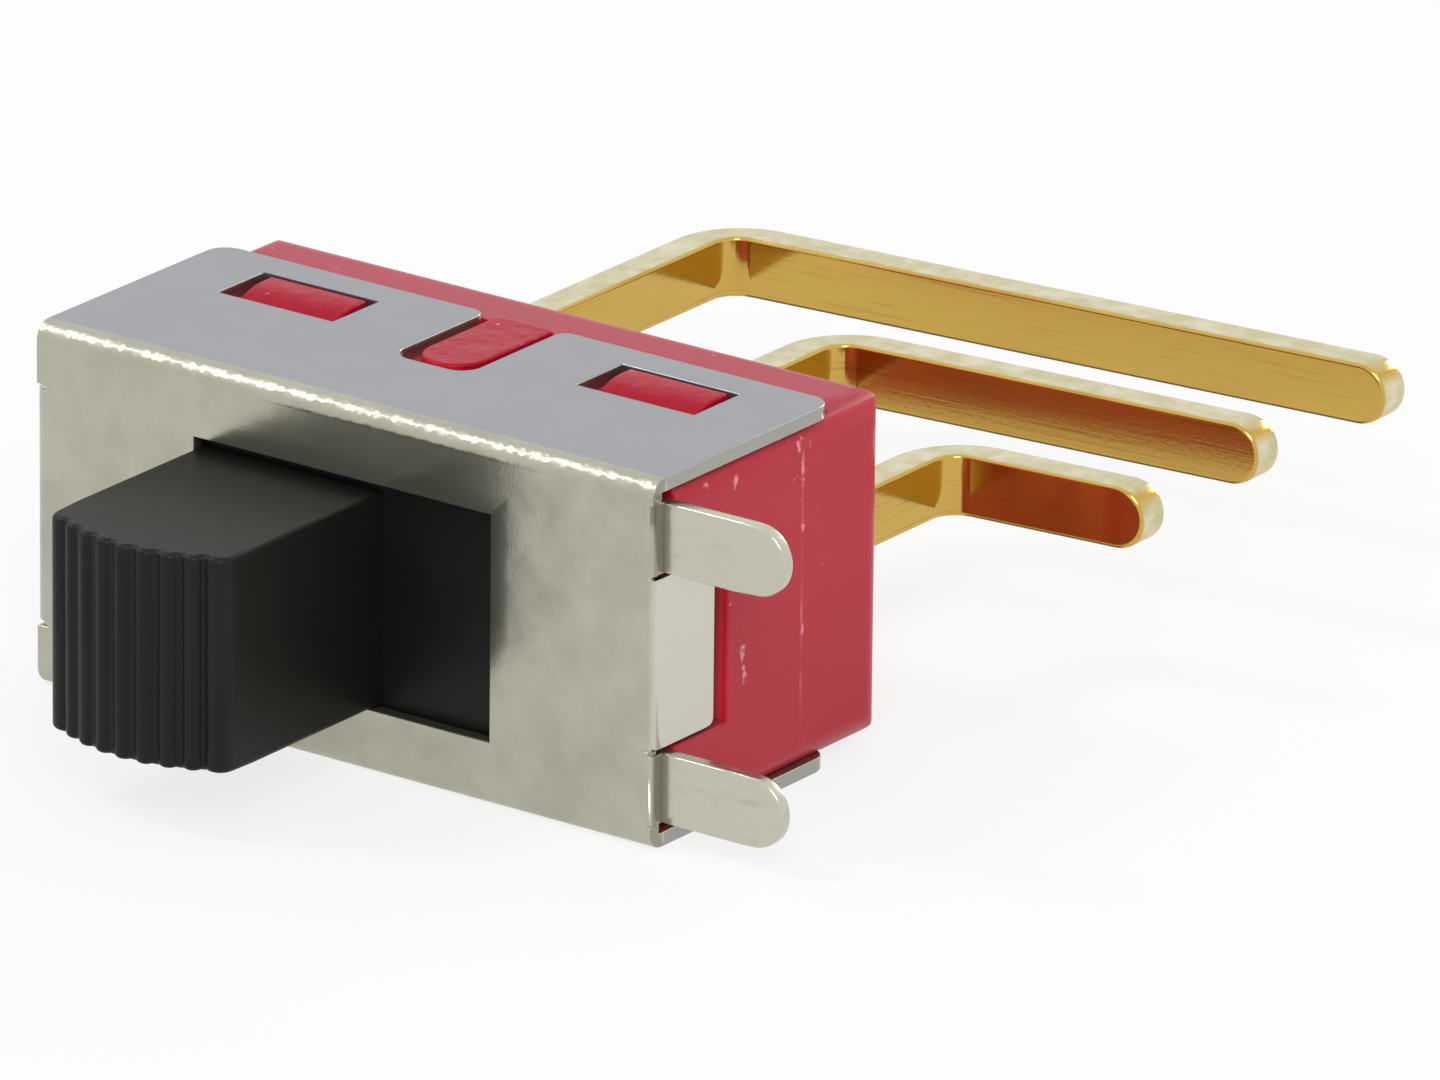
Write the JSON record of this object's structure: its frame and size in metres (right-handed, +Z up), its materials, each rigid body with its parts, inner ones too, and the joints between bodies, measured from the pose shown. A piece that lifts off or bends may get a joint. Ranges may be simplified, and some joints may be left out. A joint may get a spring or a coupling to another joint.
{
  "type": "sub-miniature slide switch",
  "caption": "Right-angle slide switch for a circuit board: ribbed sliding knob in a folded metal frame, sealed case and three bent terminals.",
  "frame": {"origin": "point of the front plate's outer face on the switch's centre line, at mid height, behind the knob", "axes": "+X towards the circuit board, which the tabs and terminal tips enter, +Y back from the front plate through the case, +Z up over the flat side that shows on top"},
  "size_m": [0.0152, 0.023, 0.0064],
  "materials": {
    "tinned_steel": "tin-plated sheet steel, satin",
    "red_case": "moulded crimson diallyl phthalate, semi-gloss",
    "epoxy": "cast epoxy, dark red-brown, glossy",
    "black_nylon": "moulded black nylon, satin",
    "gold_terminal": "gold-plated copper alloy, polished",
    "gold_contact": "gold-plated copper alloy strip",
    "silver_contact": "silver contact faces",
    "spring_steel": "drawn spring wire"
  },
  "bodies": {
    "housing": {"frame": "tinned_steel", "case": "red_case", "epoxy_seal": "epoxy", "pivot_cradle": "gold_contact", "fixed_contact_left": "silver_contact", "fixed_contact_right": "silver_contact", "terminal_left": "gold_terminal", "terminal_common": "gold_terminal", "terminal_right": "gold_terminal"},
    "slider": {"actuator": "black_nylon", "plunger": "gold_contact", "contact_spring": "spring_steel"},
    "rocker": {"rocker_contact": "gold_contact", "rocker_tip_left": "silver_contact", "rocker_tip_right": "silver_contact"}
  },
  "joints": [
    {"name": "knob_slide", "type": "slide", "parent": "housing", "child": "slider", "axis": [1, 0, 0], "range_m": [0, 0.00238]},
    {"name": "rocker_pivot", "type": "hinge", "parent": "housing", "child": "rocker", "pos_m": [0, 0.0035, 0], "axis": [0, 0, 1], "range_deg": [0, 14]}
  ],
  "couplings": [
    {"joint": "rocker_pivot", "follows": "knob_slide", "rad_per_m": 102.66}
  ]
}
